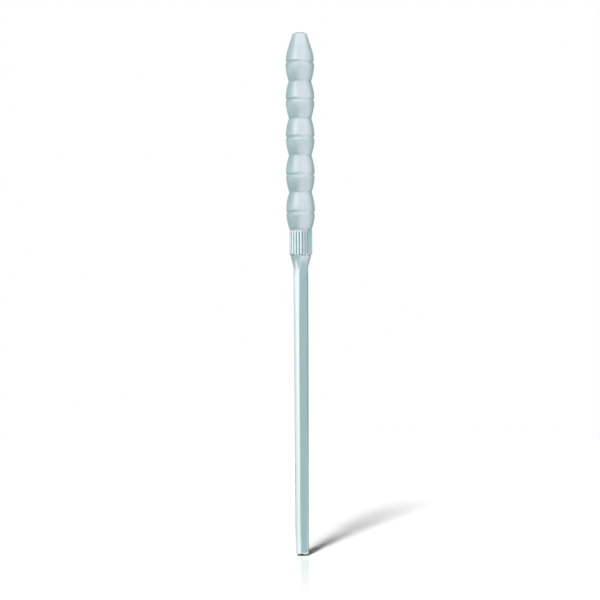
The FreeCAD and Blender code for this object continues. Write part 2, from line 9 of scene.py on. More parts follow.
import bpy
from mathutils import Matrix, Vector

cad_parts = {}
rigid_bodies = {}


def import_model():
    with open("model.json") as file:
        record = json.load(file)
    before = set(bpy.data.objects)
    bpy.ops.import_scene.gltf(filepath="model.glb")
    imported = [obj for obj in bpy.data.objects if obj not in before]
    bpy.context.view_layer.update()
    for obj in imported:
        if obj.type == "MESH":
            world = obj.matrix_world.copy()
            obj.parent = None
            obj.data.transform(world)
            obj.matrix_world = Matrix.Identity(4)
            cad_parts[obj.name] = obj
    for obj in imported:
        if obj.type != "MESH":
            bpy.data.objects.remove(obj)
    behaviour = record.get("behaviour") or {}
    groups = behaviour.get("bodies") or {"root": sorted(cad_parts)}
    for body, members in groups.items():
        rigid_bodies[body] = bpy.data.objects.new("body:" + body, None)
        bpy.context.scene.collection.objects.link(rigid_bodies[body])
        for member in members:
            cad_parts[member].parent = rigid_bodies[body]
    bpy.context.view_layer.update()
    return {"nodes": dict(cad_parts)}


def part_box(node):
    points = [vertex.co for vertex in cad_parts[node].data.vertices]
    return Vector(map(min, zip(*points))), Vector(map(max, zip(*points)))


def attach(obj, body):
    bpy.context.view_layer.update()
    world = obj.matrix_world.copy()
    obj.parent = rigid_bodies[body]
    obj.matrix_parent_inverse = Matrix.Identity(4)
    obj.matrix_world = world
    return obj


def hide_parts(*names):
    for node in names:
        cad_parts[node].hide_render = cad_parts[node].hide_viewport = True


bpy.ops.object.select_all(action="SELECT")
bpy.ops.object.delete()
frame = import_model()

MM = 0.001
WELD = 0.0005 * MM
UP = (0, 0, 1)
ORIGIN = (0, 0, 0)

# The grip: five beads, finger grooves and a tapered nose.
SLEEVE_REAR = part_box("grip_sleeve")[0].z
NOSE_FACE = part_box("grip_sleeve")[1].z
BEAD_PITCH = 10.6 * MM
PLAIN_BEADS = 4
BEAD_RADIUS = 4.13 * MM
CREASE_RADIUS = 3.2 * MM
LAST_CREASE = SLEEVE_REAR + PLAIN_BEADS * BEAD_PITCH
NOSE_BEAD_RADIUS = 4.1 * MM
NOSE_ARC_RADIUS = 14.0 * MM
NOSE_RIM_RADIUS = 2.07 * MM
NOSE_EDGE_BEVEL = 0.12 * MM
GROOVE_RISE = 4.8 * MM
GROOVE_PITCH = 10.75 * MM
GROOVE_COUNT = 5
GROOVE_DEPTH = 0.28 * MM
GROOVE_HALF_WIDTH = 0.65 * MM
BORE_RADIUS = 2.4 * MM
BORE_BEVEL = 0.15 * MM
THROAT_RADIUS = 1.4 * MM
SEAT_MOUTH_RADIUS = 1.7 * MM
SEAT_SLOPE = math.tan(math.radians(8))
GRIP_STEPS = 160
GRIP_RISE_STEP = 0.42 * MM
GROOVE_RISE_STEP = 0.1 * MM
GRIP_EDGE_SOFTENING = 0.05 * MM

# The collet: a split nose that stands a little out of the grip.
MOUTH_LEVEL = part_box("collet")[1].z
COLLET_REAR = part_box("collet")[0].z
HEAD_RADIUS = 1.67 * MM
SHANK_RADIUS = 1.35 * MM
MOUTH_RADIUS = 1.15 * MM
SOCKET_RADIUS = 0.8 * MM
SOCKET_DEPTH = 10 * MM
THREAD_RADIUS = 1.22 * MM
TAIL_LENGTH = 9.5 * MM
SLOT_WIDTH = 0.5 * MM
SLOT_LENGTH = 13 * MM
RELIEF_RADIUS = 0.4 * MM
KEY_FLAT = 1.0 * MM
KEY_FRONT = LAST_CREASE + 1.2 * MM
COLLET_STEPS = 96

# The shaft: crowned foot, hexagonal rod, flare, fluted collar and the turned end inside the grip.
ROD_LENGTH = 80.68 * MM
ROD_FLATS_FOOT = 3.5 * MM
ROD_FLATS_FRONT = 3.94 * MM
ROD_TURN = math.radians(18)
ROD_CORNER_SOFTENING = 0.16 * MM
ROD_SIDE_CUTS = 11
ROD_EDGE_SOFTENING = 0.28 * MM
FOOT_CROWN_RADIUS = 2.5 * MM
FOOT_RINGS = 5
FLARE_BLEND_RADIUS = 11.7 * MM
FLARE_BEND_ANGLE = math.radians(15)
FLARE_ROOT_RADIUS = 1.95 * MM
FLARE_TOP_RADIUS = 3.02 * MM
FLARE_RINGS = 14
FLARE_CONE_STEP = 0.5 * MM
COLLAR_RADIUS = 3.3 * MM
COLLAR_LENGTH = 7.15 * MM
COLLAR_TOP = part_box("thrust_washer")[0].z
COLLAR_BOTTOM = COLLAR_TOP - COLLAR_LENGTH
COLLAR_LOWER_BEVEL = 0.4 * MM
COLLAR_UPPER_BEVEL = 0.15 * MM
COLLAR_EDGE_SOFTENING = 0.03 * MM
FLUTE_COUNT = 24
FLUTE_COLUMNS = 16
FLUTE_DEPTH = 0.3 * MM
FLUTE_HALF_COLUMNS = 3
FIRST_FLUTE = 0.5
FLUTE_PLAIN_BAND = 0.45 * MM
FLUTE_RUN_OUT = 0.08 * MM
LAND_RADIUS = 2.3 * MM
LAND_FRONT = SLEEVE_REAR + 3.85 * MM
SEAL_GROOVE_RADIUS = 1.43 * MM
SEAL_LEVEL = SLEEVE_REAR + 1.9 * MM
SEAL_GROOVE_HALF = 0.55 * MM
JOURNAL_RADIUS = 1.6 * MM
JOURNAL_FRONT = SLEEVE_REAR + 12.025 * MM
SPIGOT_RADIUS = 1.5 * MM
SPIGOT_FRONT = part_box("shaft")[1].z

# The camera and the light. Each sun of the row has its height in degrees, its share of the light on the
# floor and how far its light drifts to the right on the way back.
CAMERA_DISTANCE = 0.85
CAMERA_LEVEL = 73.34 * MM
CAMERA_ASIDE = -0.3 * MM
CAMERA_ROLL = math.radians(0.31)
CAMERA_LENS = 178
SUN_ROW = ((28, 0.13, 0.181), (33, 0.26, 0.169), (39, 0.28, 0.159), (48, 0.21, 0.149), (62, 0.12, 0.125))
SUN_ON_FLOOR = 0.95
SUN_SOFTNESS = math.radians(5)
SKY_STRENGTH = 0.11
FLOOR_GLOSS = 0.34
FLOOR_SIZE = 3
CARD_LIFT = 0.05 * MM
LEAN_REACH = 25 * MM
LEAN_TOP = 83.2 * MM
LEAN_AIM = 100 * MM


def only(piece):
    """Makes a piece the only one selected."""
    bpy.ops.object.select_all(action="DESELECT")
    piece.select_set(True)
    bpy.context.view_layer.objects.active = piece


def new_piece(name):
    """Names the primitive that was just added, and its mesh."""
    piece = bpy.context.object
    piece.name = name
    piece.data.name = name
    return piece


def edit(piece):
    """Opens a piece in edit mode, with vertices as what is selected."""
    only(piece)
    bpy.ops.object.mode_set(mode="EDIT")
    bpy.ops.mesh.select_mode(type="VERT")


def leave_edit():
    bpy.ops.object.mode_set(mode="OBJECT")


def pick(piece, wanted):
    """Selects the vertices whose place is wanted, in edit mode."""
    bpy.ops.mesh.select_all(action="DESELECT")
    bpy.ops.object.mode_set(mode="OBJECT")
    for vertex in piece.data.vertices:
        vertex.select = wanted(vertex.co)
    bpy.ops.object.mode_set(mode="EDIT")


def close_up(smooth_angle):
    """Welds the active piece's doubles, turns its faces outwards and smooths its shallow edges."""
    bpy.ops.object.mode_set(mode="EDIT")
    bpy.ops.mesh.select_all(action="SELECT")
    bpy.ops.mesh.remove_doubles(threshold=WELD)
    bpy.ops.mesh.normals_make_consistent(inside=False)
    bpy.ops.object.mode_set(mode="OBJECT")
    bpy.ops.object.shade_smooth_by_angle(angle=math.radians(smooth_angle))


def soften(piece, width, angle, segments=2):
    """Rounds the edges that are sharper than an angle, as a deburring tool does."""
    only(piece)
    bevel = piece.modifiers.new("deburr", "BEVEL")
    bevel.width = width
    bevel.segments = segments
    bevel.limit_method = "ANGLE"
    bevel.angle_limit = math.radians(angle)
    bevel.use_clamp_overlap = True
    bpy.ops.object.modifier_apply(modifier=bevel.name)


def turn_section(name, section, steps):
    """Draws a closed section of (radius, height) corners beside the axis and spins it once round."""
    bpy.ops.object.select_all(action="DESELECT")
    bpy.ops.mesh.primitive_plane_add(size=MM)
    piece = new_piece(name)
    edit(piece)
    bpy.ops.mesh.merge(type="CENTER")
    bpy.ops.transform.translate(value=(section[0][0], 0, section[0][1]))
    for start, end in zip(section, section[1:] + section[:1]):
        step = (end[0] - start[0], 0, end[1] - start[1])
        bpy.ops.mesh.extrude_region_move(TRANSFORM_OT_translate={"value": step})
    bpy.ops.mesh.select_all(action="SELECT")
    bpy.ops.mesh.spin(steps=steps, angle=math.tau, center=ORIGIN, axis=UP)
    leave_edit()
    return piece


def climb(low, high, longest):
    """Heights from low up to high, evenly spaced and no further apart than longest."""
    count = max(1, math.ceil((high - low) / longest))
    return [low + (high - low) * index / count for index in range(count + 1)]


def smooth_step(value):
    """Eases a share from 0 to 1 in and out."""
    value = min(1.0, max(0.0, value))
    return value * value * (3 - 2 * value)


# ---- the grip ----


def nose_tangent():
    """Where the nose bead's side runs into the cone: radius and height, and the bead's middle height."""
    centre = NOSE_BEAD_RADIUS - NOSE_ARC_RADIUS
    middle = LAST_CREASE + math.sqrt(NOSE_ARC_RADIUS ** 2 - (CREASE_RADIUS - centre) ** 2)
    across = NOSE_RIM_RADIUS - centre
    up = NOSE_FACE - NOSE_EDGE_BEVEL - middle
    angle = math.atan2(up, across) - math.acos(NOSE_ARC_RADIUS / math.hypot(across, up))
    return (
        centre + NOSE_ARC_RADIUS * math.cos(angle),
        middle + NOSE_ARC_RADIUS * math.sin(angle),
        middle,
    )


def plain_grip_radius(height):
    """Outside radius of the grip at a height, before the finger grooves are cut."""
    if height < LAST_CREASE:
        rise = BEAD_RADIUS - CREASE_RADIUS
        side = ((BEAD_PITCH / 2) ** 2 + rise ** 2) / (2 * rise)
        bead = math.floor((height - SLEEVE_REAR) / BEAD_PITCH)
        middle = SLEEVE_REAR + (bead + 0.5) * BEAD_PITCH
        return BEAD_RADIUS - side + math.sqrt(side ** 2 - (height - middle) ** 2)
    tangent_radius, tangent_height, middle = nose_tangent()
    if height < tangent_height:
        drop = NOSE_ARC_RADIUS - math.sqrt(NOSE_ARC_RADIUS ** 2 - (height - middle) ** 2)
        return NOSE_BEAD_RADIUS - drop
    share = (height - tangent_height) / (NOSE_FACE - NOSE_EDGE_BEVEL - tangent_height)
    return tangent_radius + (NOSE_RIM_RADIUS - tangent_radius) * share


def groove_levels():
    """Heights of the finger grooves."""
    return [SLEEVE_REAR + GROOVE_RISE + GROOVE_PITCH * index for index in range(GROOVE_COUNT)]


def grip_radius(height):
    """Outside radius of the grip at a height, with its finger grooves."""
    radius = plain_grip_radius(height)
    for level in groove_levels():
        off = min(1.0, abs(height - level) / GROOVE_HALF_WIDTH)
        radius -= GROOVE_DEPTH * (1 + math.cos(math.pi * off)) / 2
    return radius


def grip_section():
    """Section of the grip: up the beads and the nose, then back down the seat, throat and bore."""
    rim = NOSE_FACE - NOSE_EDGE_BEVEL
    stops = [SLEEVE_REAR + BEAD_PITCH * index for index in range(PLAIN_BEADS + 1)] + [rim]
    heights = set()
    for low, high in zip(stops, stops[1:]):
        heights.update(climb(low, high, GRIP_RISE_STEP))
    for level in groove_levels():
        reach = GROOVE_HALF_WIDTH + 2 * GROOVE_RISE_STEP
        heights = {height for height in heights if abs(height - level) > reach}
        heights.update(climb(level - reach, level + reach, GROOVE_RISE_STEP))
    section = [(grip_radius(height), height) for height in sorted(heights)]
    seat_rise = (SEAT_MOUTH_RADIUS - THROAT_RADIUS) / SEAT_SLOPE
    section += [
        (NOSE_RIM_RADIUS - NOSE_EDGE_BEVEL, NOSE_FACE),
        (SEAT_MOUTH_RADIUS, NOSE_FACE),
        (THROAT_RADIUS, NOSE_FACE - seat_rise),
        (THROAT_RADIUS, LAST_CREASE),
        (BORE_RADIUS, LAST_CREASE),
        (BORE_RADIUS, SLEEVE_REAR + BORE_BEVEL),
        (BORE_RADIUS + BORE_BEVEL, SLEEVE_REAR),
    ]
    return section


def make_grip_shell():
    """Spins the grip's section and softens its edges."""
    grip = turn_section("grip_shell", grip_section(), GRIP_STEPS)
    only(grip)
    close_up(24)
    soften(grip, GRIP_EDGE_SOFTENING, 20)
    bpy.ops.object.shade_smooth_by_angle(angle=math.radians(32))
    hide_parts("grip_sleeve")
    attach(grip, "grip")
    return grip


# ---- the collet ----


def cut_away(piece, cutter):
    """Cuts one solid out of another and removes the cutter."""
    only(piece)
    cut = piece.modifiers.new("cut", "BOOLEAN")
    cut.operation = "DIFFERENCE"
    cut.solver = "EXACT"
    cut.object = cutter
    bpy.ops.object.modifier_apply(modifier=cut.name)
    bpy.data.objects.remove(cutter)


def cutter_block(low, high):
    """Adds a block between two corners, as a milling cut."""
    bpy.ops.object.select_all(action="DESELECT")
    centre = (Vector(low) + Vector(high)) / 2
    bpy.ops.mesh.primitive_cube_add(size=1, location=centre, scale=Vector(high) - Vector(low))
    bpy.ops.object.transform_apply(location=True, rotation=True, scale=True)
    return bpy.context.object


def make_collet_jaws():
    """Spins the collet, then mills its keying flat and the slot that splits it into two jaws."""
    head_rise = (HEAD_RADIUS - SHANK_RADIUS) / SEAT_SLOPE
    section = [
        (0, COLLET_REAR),
        (THREAD_RADIUS, COLLET_REAR),
        (THREAD_RADIUS, COLLET_REAR + TAIL_LENGTH),
        (SHANK_RADIUS, COLLET_REAR + TAIL_LENGTH),
        (SHANK_RADIUS, NOSE_FACE - head_rise),
        (HEAD_RADIUS, NOSE_FACE),
        (MOUTH_RADIUS, MOUTH_LEVEL),
        (SOCKET_RADIUS, MOUTH_LEVEL),
        (SOCKET_RADIUS, MOUTH_LEVEL - SOCKET_DEPTH),
        (0, MOUTH_LEVEL - SOCKET_DEPTH),
    ]
    collet = turn_section("collet_jaws", section, COLLET_STEPS)
    only(collet)
    close_up(30)
    wide = 2 * HEAD_RADIUS
    slot_rear = MOUTH_LEVEL - SLOT_LENGTH
    flat = cutter_block((-wide, KEY_FLAT, COLLET_REAR + TAIL_LENGTH), (wide, wide, KEY_FRONT))
    cut_away(collet, flat)
    slot = cutter_block((-wide, -SLOT_WIDTH / 2, slot_rear), (wide, SLOT_WIDTH / 2, NOSE_FACE + wide))
    cut_away(collet, slot)
    bpy.ops.object.select_all(action="DESELECT")
    bpy.ops.mesh.primitive_cylinder_add(
        vertices=32, radius=RELIEF_RADIUS, depth=2 * wide,
        location=(0, 0, slot_rear), rotation=(0, math.pi / 2, 0),
    )
    bpy.ops.object.transform_apply(location=True, rotation=True, scale=True)
    cut_away(collet, bpy.context.object)
    only(collet)
    close_up(30)
    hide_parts("collet")
    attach(collet, "collet")
    return collet


# ---- the shaft ----


def crown_ball():
    """The sphere whose underside is the crown of the foot."""
    bpy.ops.object.select_all(action="DESELECT")
    bpy.ops.mesh.primitive_uv_sphere_add(
        segments=128, ring_count=96, radius=FOOT_CROWN_RADIUS, location=(0, 0, FOOT_CROWN_RADIUS)
    )
    bpy.ops.object.transform_apply(location=True, rotation=True, scale=True)
    return bpy.context.object


def flare_bend():
    """Height at which the flare's hollow blend runs into its cone."""
    return ROD_LENGTH + FLARE_BLEND_RADIUS * math.sin(FLARE_BEND_ANGLE)


def flare_radius(height):
    """Radius of the turned flare at a height, from its root to the collar."""
    if height < flare_bend():
        rise = height - ROD_LENGTH
        return FLARE_ROOT_RADIUS + FLARE_BLEND_RADIUS - math.sqrt(FLARE_BLEND_RADIUS ** 2 - rise ** 2)
    return FLARE_TOP_RADIUS - (COLLAR_BOTTOM - height) * math.tan(FLARE_BEND_ANGLE)


def hexagon_foot():
    """Draws the foot as a flat hexagon with softened corners, in rings that can be crowned."""
    foot_corner = ROD_FLATS_FOOT / 2 / math.cos(math.radians(30))
    bpy.ops.object.select_all(action="DESELECT")
    bpy.ops.mesh.primitive_circle_add(
        vertices=6, radius=foot_corner, fill_type="NGON", rotation=(0, 0, ROD_TURN - math.pi / 2)
    )
    bpy.ops.object.transform_apply(location=True, rotation=True, scale=True)
    rod = new_piece("rod_and_flare")
    edit(rod)
    bpy.ops.mesh.select_all(action="SELECT")
    bpy.ops.mesh.bevel(offset=ROD_CORNER_SOFTENING, segments=4, affect="VERTICES")
    bpy.ops.mesh.select_mode(type="EDGE")
    bpy.ops.mesh.select_all(action="DESELECT")
    leave_edit()
    places = [vertex.co for vertex in rod.data.vertices]
    lengths = [(places[edge.vertices[0]] - places[edge.vertices[1]]).length for edge in rod.data.edges]
    for edge, length in zip(rod.data.edges, lengths):
        edge.select = length > max(lengths) / 2
    bpy.ops.object.mode_set(mode="EDIT")
    bpy.ops.mesh.subdivide(number_cuts=ROD_SIDE_CUTS)
    bpy.ops.mesh.select_all(action="SELECT")
    bpy.ops.mesh.normals_make_consistent(inside=False)
    bpy.ops.mesh.select_mode(type="FACE")
    bpy.ops.mesh.select_all(action="SELECT")
    for ring in range(FOOT_RINGS, 1, -1):
        bpy.ops.mesh.inset(thickness=0, depth=0)
        shrink = (ring - 1) / ring
        bpy.ops.transform.resize(value=(shrink, shrink, 1), center_override=ORIGIN)
    bpy.ops.mesh.poke()
    bpy.ops.mesh.select_mode(type="EDGE")
    bpy.ops.mesh.select_all(action="SELECT")
    bpy.ops.mesh.region_to_loop()
    leave_edit()
    return rod


def draw_up_flare(rod):
    """Draws the foot's rim up to the flare, rounds it into a circle on the way and closes it."""
    bpy.ops.object.mode_set(mode="EDIT")
    bpy.ops.mesh.extrude_region_move(TRANSFORM_OT_translate={"value": (0, 0, ROD_LENGTH)})
    grow = ROD_FLATS_FRONT / ROD_FLATS_FOOT
    bpy.ops.transform.resize(value=(grow, grow, 1), center_override=ORIGIN)
    leave_edit()
    top = [vertex for vertex in rod.data.vertices if vertex.co.z > ROD_LENGTH / 2]
    mean = sum(math.hypot(vertex.co.x, vertex.co.y) for vertex in top) / len(top)
    bpy.ops.object.mode_set(mode="EDIT")
    bend = flare_bend()
    levels = climb(ROD_LENGTH, bend, (bend - ROD_LENGTH) / FLARE_RINGS)[1:]
    levels += climb(bend, COLLAR_BOTTOM, FLARE_CONE_STEP)[1:]
    height, radius, roundness = ROD_LENGTH, mean, 0.0
    for level in levels:
        share = smooth_step((level - ROD_LENGTH) / (bend - ROD_LENGTH))
        next_radius = mean * (1 - share) + flare_radius(level) * share
        bpy.ops.mesh.extrude_region_move(TRANSFORM_OT_translate={"value": (0, 0, -height)})
        grow = next_radius / radius
        bpy.ops.transform.resize(value=(grow, grow, 1), center_override=ORIGIN)
        if roundness < 1:
            bpy.ops.transform.tosphere(value=1 - (1 - share) / (1 - roundness))
        bpy.ops.transform.translate(value=(0, 0, level))
        height, radius, roundness = level, next_radius, share
    bpy.ops.mesh.edge_face_add()
    leave_edit()


def crown_foot(rod):
    """Lifts the foot's flat face, which is the vertex group of that name, onto the crown's sphere."""
    ball = crown_ball()
    only(rod)
    wrap = rod.modifiers.new("crown", "SHRINKWRAP")
    wrap.wrap_method = "PROJECT"
    wrap.use_project_z = True
    wrap.use_positive_direction = True
    wrap.use_negative_direction = False
    wrap.target = ball
    wrap.vertex_group = "foot"
    bpy.ops.object.modifier_apply(modifier=wrap.name)
    bpy.data.objects.remove(ball)
    rod.vertex_groups.clear()


def make_rod_and_flare():
    """Starts from a hexagon at the foot, draws it up to the flare and crowns the foot."""
    rod = hexagon_foot()
    draw_up_flare(rod)
    foot = [vertex.index for vertex in rod.data.vertices if vertex.co.z < MM]
    rod.vertex_groups.new(name="foot").add(foot, 1.0, "REPLACE")
    crown_foot(rod)
    only(rod)
    close_up(24)
    soften(rod, ROD_EDGE_SOFTENING, 28, 3)
    bpy.ops.object.shade_smooth_by_angle(angle=math.radians(30))
    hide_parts("shaft")
    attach(rod, "shaft")
    return rod


def make_fluted_collar():
    """Collar with its flutes, and the turned end of the shaft that runs inside the grip."""
    flute_top = COLLAR_TOP - FLUTE_PLAIN_BAND
    rings = [
        (COLLAR_RADIUS, COLLAR_BOTTOM + COLLAR_LOWER_BEVEL),
        (COLLAR_RADIUS, flute_top - FLUTE_RUN_OUT),
        (COLLAR_RADIUS, flute_top),
        (COLLAR_RADIUS, COLLAR_TOP - COLLAR_UPPER_BEVEL),
        (COLLAR_RADIUS - COLLAR_UPPER_BEVEL, COLLAR_TOP),
        (LAND_RADIUS, COLLAR_TOP),
        (LAND_RADIUS, SEAL_LEVEL - SEAL_GROOVE_HALF),
        (SEAL_GROOVE_RADIUS, SEAL_LEVEL - SEAL_GROOVE_HALF),
        (SEAL_GROOVE_RADIUS, SEAL_LEVEL + SEAL_GROOVE_HALF),
        (LAND_RADIUS, SEAL_LEVEL + SEAL_GROOVE_HALF),
        (LAND_RADIUS, LAND_FRONT),
        (JOURNAL_RADIUS, LAND_FRONT),
        (JOURNAL_RADIUS, JOURNAL_FRONT),
        (SPIGOT_RADIUS, JOURNAL_FRONT),
        (SPIGOT_RADIUS, SPIGOT_FRONT),
    ]
    bpy.ops.object.select_all(action="DESELECT")
    bpy.ops.mesh.primitive_circle_add(
        vertices=FLUTE_COUNT * FLUTE_COLUMNS, radius=FLARE_TOP_RADIUS, fill_type="NGON",
        location=(0, 0, COLLAR_BOTTOM),
    )
    bpy.ops.object.transform_apply(location=True, rotation=True, scale=True)
    collar = new_piece("fluted_collar")
    edit(collar)
    bpy.ops.mesh.select_mode(type="EDGE")
    bpy.ops.mesh.select_all(action="SELECT")
    bpy.ops.mesh.region_to_loop()
    radius, height = FLARE_TOP_RADIUS, COLLAR_BOTTOM
    for next_radius, next_height in rings:
        bpy.ops.mesh.extrude_region_move(TRANSFORM_OT_translate={"value": (0, 0, next_height - height)})
        grow = next_radius / radius
        bpy.ops.transform.resize(value=(grow, grow, 1), center_override=(0, 0, next_height))
        radius, height = next_radius, next_height
    bpy.ops.mesh.edge_face_add()
    pitch = math.tau / FLUTE_COUNT
    column = pitch / FLUTE_COLUMNS
    for step in range(FLUTE_HALF_COLUMNS):
        share = (1 + math.cos(math.pi * step / FLUTE_HALF_COLUMNS)) / 2
        bottom = COLLAR_RADIUS - FLUTE_DEPTH * share

        def in_flute(place, step=step):
            if not COLLAR_BOTTOM + 0.1 * MM < place.z < flute_top - FLUTE_RUN_OUT / 2:
                return False
            turn = math.atan2(place.y, place.x) / pitch - FIRST_FLUTE
            off = abs(turn - round(turn)) * pitch
            return abs(off - step * column) < column / 4

        pick(collar, in_flute)
        shrink = bottom / COLLAR_RADIUS
        bpy.ops.transform.resize(value=(shrink, shrink, 1), center_override=ORIGIN)
    leave_edit()
    only(collar)
    close_up(30)
    soften(collar, COLLAR_EDGE_SOFTENING, 40)
    bpy.ops.object.shade_smooth_by_angle(angle=math.radians(38))
    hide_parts("shaft")
    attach(collar, "shaft")
    return collar


# ---- finishes ----


class Shading:
    """The nodes of a material or of the world."""

    def __init__(self, owner, bare=True):
        owner.use_nodes = True
        self.nodes = owner.node_tree.nodes
        self.links = owner.node_tree.links
        if bare:
            self.nodes.clear()

    def join(self, source, target):
        self.links.new(source, target)

    def ranged(self, value, low, high, new_low, new_high):
        """Maps a value from one range to another, and holds it there."""
        node = self.nodes.new("ShaderNodeMapRange")
        node.interpolation_type = "SMOOTHSTEP"
        keys = ("From Min", "From Max", "To Min", "To Max")
        for key, number in zip(keys, (low, high, new_low, new_high)):
            node.inputs[key].default_value = number
        self.join(value, node.inputs["Value"])
        return node.outputs["Result"]

    def worked(self, operation, *values):
        """One step of arithmetic; each value is a socket or a number."""
        node = self.nodes.new("ShaderNodeMath")
        node.operation = operation
        for socket, value in zip(node.inputs, values):
            if isinstance(value, (int, float)):
                socket.default_value = value
            else:
                self.join(value, socket)
        return node.outputs["Value"]

    def length(self, vector):
        node = self.nodes.new("ShaderNodeVectorMath")
        node.operation = "LENGTH"
        self.join(vector, node.inputs[0])
        return node.outputs["Value"]

    def parted(self, vector):
        """The three parts of a vector."""
        node = self.nodes.new("ShaderNodeSeparateXYZ")
        self.join(vector, node.inputs["Vector"])
        return node.outputs

    def blended(self, share, first, second):
        """One shader where the share is 0, another where it is 1."""
        node = self.nodes.new("ShaderNodeMixShader")
        for socket, source in zip(node.inputs, (share, first, second)):
            self.join(source, socket)
        return node.outputs["Shader"]

    def put_out(self, shader, kind="ShaderNodeOutputMaterial"):
        self.join(shader, self.nodes.new(kind).inputs["Surface"])


class Finish(Shading):
    """A material of nodes around one Principled shader."""

    def __init__(self, name, colour, metallic, roughness):
        self.material = bpy.data.materials.new(name)
        super().__init__(self.material, bare=False)
        self.shader = self.nodes["Principled BSDF"]
        self.shader.inputs["Base Color"].default_value = (*colour, 1)
        self.shader.inputs["Metallic"].default_value = metallic
        self.shader.inputs["Roughness"].default_value = roughness
        self.place = self.nodes.new("ShaderNodeTexCoord").outputs["Object"]

    def stretched(self, scale):
        """The place on the piece, stretched along its axes."""
        mapping = self.nodes.new("ShaderNodeMapping")
        mapping.inputs["Scale"].default_value = scale
        self.join(self.place, mapping.inputs["Vector"])
        return mapping.outputs["Vector"]

    def noise(self, place, size, detail=2.0):
        """Noise whose grains are about size across."""
        node = self.nodes.new("ShaderNodeTexNoise")
        node.inputs["Scale"].default_value = 1 / size
        node.inputs["Detail"].default_value = detail
        self.join(place, node.inputs["Vector"])
        return node.outputs["Fac"]

    def height(self):
        """Height above the floor."""
        return self.parted(self.place)["Z"]

    def darken_rim(self, share):
        """Holds back the brightening of the metal where it is seen at a glancing angle."""
        self.shader.inputs["Specular Tint"].default_value = (share, share, share, 1)

    def axis_distance(self):
        """Distance from the handle's axis."""
        return self.length(self.stretched((1, 1, 0)))

    def mixed(self, share, first, second):
        """Colour between two colours; either may be a socket."""
        node = self.nodes.new("ShaderNodeMix")
        node.data_type = "RGBA"
        self.join(share, node.inputs["Factor"])
        for socket, colour in ((node.inputs[6], first), (node.inputs[7], second)):
            if isinstance(colour, tuple):
                socket.default_value = (*colour, 1)
            else:
                self.join(colour, socket)
        return node.outputs[2]

    def paint(self, colour):
        self.join(colour, self.shader.inputs["Base Color"])

    def dull(self, roughness):
        self.join(roughness, self.shader.inputs["Roughness"])

    def emboss(self, height, depth, strength=1.0):
        """Raises the surface by a height from 0 to 1, depth deep, over what is embossed already."""
        bump = self.nodes.new("ShaderNodeBump")
        bump.inputs["Strength"].default_value = strength
        bump.inputs["Distance"].default_value = depth
        self.join(height, bump.inputs["Height"])
        normal = self.shader.inputs["Normal"]
        if normal.is_linked:
            self.join(normal.links[0].from_socket, bump.inputs["Normal"])
        self.join(bump.outputs["Normal"], normal)


def blasted_grip_steel():
    """Bead-blasted steel: a fine even grain, bellies polished a little by fingers, painted shade in the
    creases.
    """
    finish = Finish("blasted_grip_steel", (0.62, 0.70, 0.72), 1.0, 0.46)
    finish.darken_rim(0.85)
    cloud = finish.noise(finish.place, 3.5 * MM, 3)
    patches = finish.ranged(cloud, 0.35, 0.65, 0, 1)
    tone = finish.mixed(patches, (0.60, 0.685, 0.705), (0.645, 0.72, 0.74))
    radius = finish.axis_distance()
    # Painted shade: the creases between the beads are painted darker, in patches.
    crease = finish.ranged(radius, 3.15 * MM, 3.5 * MM, 1, 0)
    painted_crease_shade = finish.worked("MULTIPLY", crease, finish.ranged(cloud, 0.3, 0.7, 0.3, 0.8))
    crease_shaded_tone = finish.mixed(painted_crease_shade, tone, (0.52, 0.605, 0.615))
    # Painted highlight: the grip is painted paler over the last 7 mm towards the nose.
    nose = finish.ranged(finish.height(), NOSE_FACE - 7 * MM, NOSE_FACE, 0, 1)
    finish.paint(finish.mixed(nose, crease_shaded_tone, (0.69, 0.765, 0.785)))
    belly = finish.ranged(radius, 3.9 * MM, 4.12 * MM, 0, 1)
    handled = finish.worked("MULTIPLY", belly, finish.ranged(cloud, 0.4, 0.6, 0.4, 1.0))
    grain = finish.noise(finish.place, 0.09 * MM, 2)
    speckle = finish.ranged(grain, 0.3, 0.7, 0.4, 0.46)
    finish.dull(finish.worked("SUBTRACT", speckle, finish.worked("MULTIPLY", handled, 0.06)))
    finish.emboss(grain, 0.006 * MM, 0.6)
    finish.emboss(finish.noise(finish.place, 0.5 * MM, 1), 0.006 * MM, 0.35)
    return finish.material


def polished_rod_steel():
    """Polished steel with faint lengthwise lines from the last polish."""
    finish = Finish("polished_rod_steel", (0.62, 0.71, 0.73), 1.0, 0.16)
    cloud = finish.noise(finish.stretched((1, 1, 0.2)), 2.5 * MM, 2)
    finish.paint(finish.mixed(cloud, (0.60, 0.695, 0.715), (0.64, 0.725, 0.745)))
    lines = finish.noise(finish.stretched((1, 1, 0.012)), 0.07 * MM, 2)
    blend = finish.ranged(finish.height(), ROD_LENGTH - 1.5 * MM, ROD_LENGTH + 2.5 * MM, 0, 0.28)
    finish.dull(finish.worked("ADD", finish.ranged(lines, 0.3, 0.7, 0.08, 0.14), blend))
    finish.emboss(lines, 0.002 * MM, 0.35)
    return finish.material


def turned_collar_steel():
    """Bright turned steel with fine rings from the lathe, and painted shade in the hollows of the
    flutes.
    """
    finish = Finish("turned_collar_steel", (0.63, 0.72, 0.74), 1.0, 0.18)
    rings = finish.noise(finish.stretched((0.02, 0.02, 1)), 0.06 * MM, 2)
    cloud = finish.noise(finish.place, 1.6 * MM, 2)
    # Painted shade: the hollows of the flutes are painted darker than the ridges.
    painted_valley_shade = finish.ranged(finish.axis_distance(), 3.02 * MM, 3.24 * MM, 0, 1)
    bright = finish.mixed(cloud, (0.61, 0.705, 0.725), (0.66, 0.745, 0.765))
    finish.paint(finish.mixed(painted_valley_shade, (0.50, 0.595, 0.61), bright))
    finish.dull(finish.ranged(rings, 0.3, 0.7, 0.06, 0.1))
    finish.emboss(rings, 0.001 * MM, 0.05)
    return finish.material


